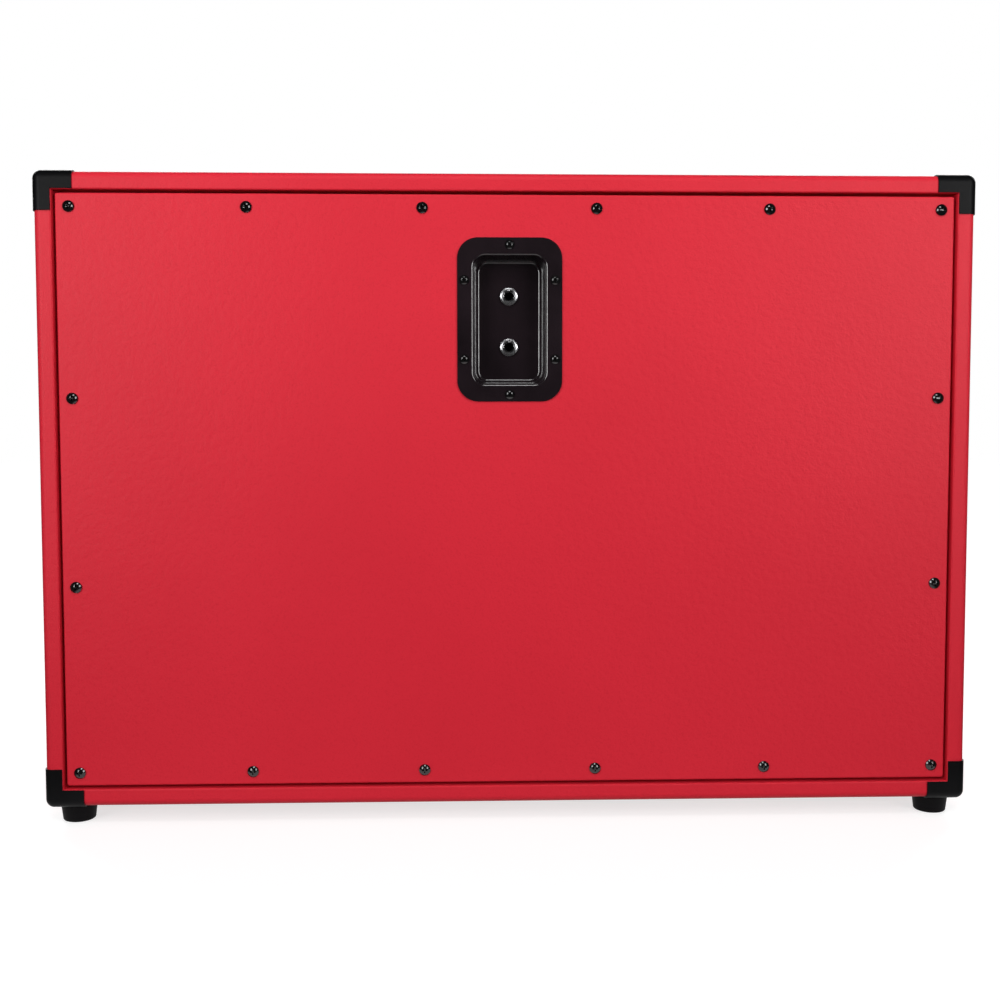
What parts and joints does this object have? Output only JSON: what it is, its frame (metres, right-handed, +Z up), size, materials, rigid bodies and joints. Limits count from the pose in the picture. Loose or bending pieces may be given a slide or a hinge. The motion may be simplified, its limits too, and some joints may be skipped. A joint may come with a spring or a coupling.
{
  "type": "guitar speaker cabinet",
  "caption": "Closed-back guitar speaker cabinet in red vinyl with a screwed back panel, recessed jack plate, corner protectors, side handles and sprung speaker cones behind a cloth grille.",
  "frame": {"origin": "on the floor under the middle of the cabinet, level with the bottoms of the feet", "axes": "+X to the right as seen from the front, +Y from the grille towards the back panel, +Z up"},
  "size_m": [0.7748, 0.3231, 0.5345],
  "materials": {
    "red_vinyl": "fine grained red vinyl, satin",
    "plywood": "bare plywood",
    "black_plastic": "moulded, lightly textured",
    "black_rubber": "moulded",
    "black_steel": "black, finely textured",
    "chrome": "polished",
    "plain_steel": "zinc plated",
    "ferrite": "sintered, matt",
    "cone_paper": "pressed pulp, matt",
    "gasket_board": "matt",
    "treated_cloth": "resin treated weave",
    "coil_metal": "enamelled wire on a foil former",
    "grille_weave": "open black weave",
    "hook_and_loop": "hook and loop"
  },
  "bodies": {
    "cabinet": {"top_board": "plywood", "bottom_board": "plywood", "left_side_board": "plywood", "right_side_board": "plywood", "shell_covering": "red_vinyl", "baffle_board": "plywood", "front_battens": "plywood", "rear_battens": "plywood", "baffle_screws": "black_steel", "back_panel": "plywood", "back_panel_covering": "red_vinyl", "back_panel_screws": "black_steel", "jack_plate": "black_steel", "jack_plate_screws": "black_steel", "upper_jack": "black_plastic", "lower_jack": "black_plastic", "jack_washers": "chrome", "jack_nuts": "chrome", "grille_frame": "plywood", "grille_cloth": "grille_weave", "grille_pads": "hook_and_loop", "left_handle": "black_plastic", "right_handle": "black_plastic", "handle_screws": "black_steel", "corner_screws": "black_steel", "foot_screws": "black_steel", "speaker_gaskets": "gasket_board", "speaker_top_plates": "plain_steel", "speaker_back_plates": "plain_steel", "speaker_terminals": "black_plastic", "speaker_bolts": "plain_steel", "speaker_tee_nuts": "plain_steel", "foot_front_left": "black_rubber", "corner_front_top_left": "black_plastic", "corner_front_bottom_left": "black_plastic", "foot_front_right": "black_rubber", "corner_front_top_right": "black_plastic", "corner_front_bottom_right": "black_plastic", "foot_rear_left": "black_rubber", "corner_rear_top_left": "black_plastic", "corner_rear_bottom_left": "black_plastic", "foot_rear_right": "black_rubber", "corner_rear_top_right": "black_plastic", "corner_rear_bottom_right": "black_plastic", "left_basket": "black_steel", "left_magnet": "ferrite", "left_surround": "treated_cloth", "left_spider": "treated_cloth", "left_speaker_cable": "black_plastic", "right_basket": "black_steel", "right_magnet": "ferrite", "right_surround": "treated_cloth", "right_spider": "treated_cloth", "right_speaker_cable": "black_plastic"},
    "left_cone_assembly": {"left_cone": "cone_paper", "left_dust_cap": "cone_paper", "left_voice_coil": "coil_metal"},
    "right_cone_assembly": {"right_cone": "cone_paper", "right_dust_cap": "cone_paper", "right_voice_coil": "coil_metal"}
  },
  "joints": [
    {"name": "left_cone_travel", "type": "slide", "parent": "cabinet", "child": "left_cone_assembly", "axis": [0, -1, 0], "range_m": [-0.004, 0.004], "stiffness_N_per_m": 8900, "deforming": ["left_surround", "left_spider"]},
    {"name": "right_cone_travel", "type": "slide", "parent": "cabinet", "child": "right_cone_assembly", "axis": [0, -1, 0], "range_m": [-0.004, 0.004], "stiffness_N_per_m": 8900, "deforming": ["right_surround", "right_spider"]}
  ]
}
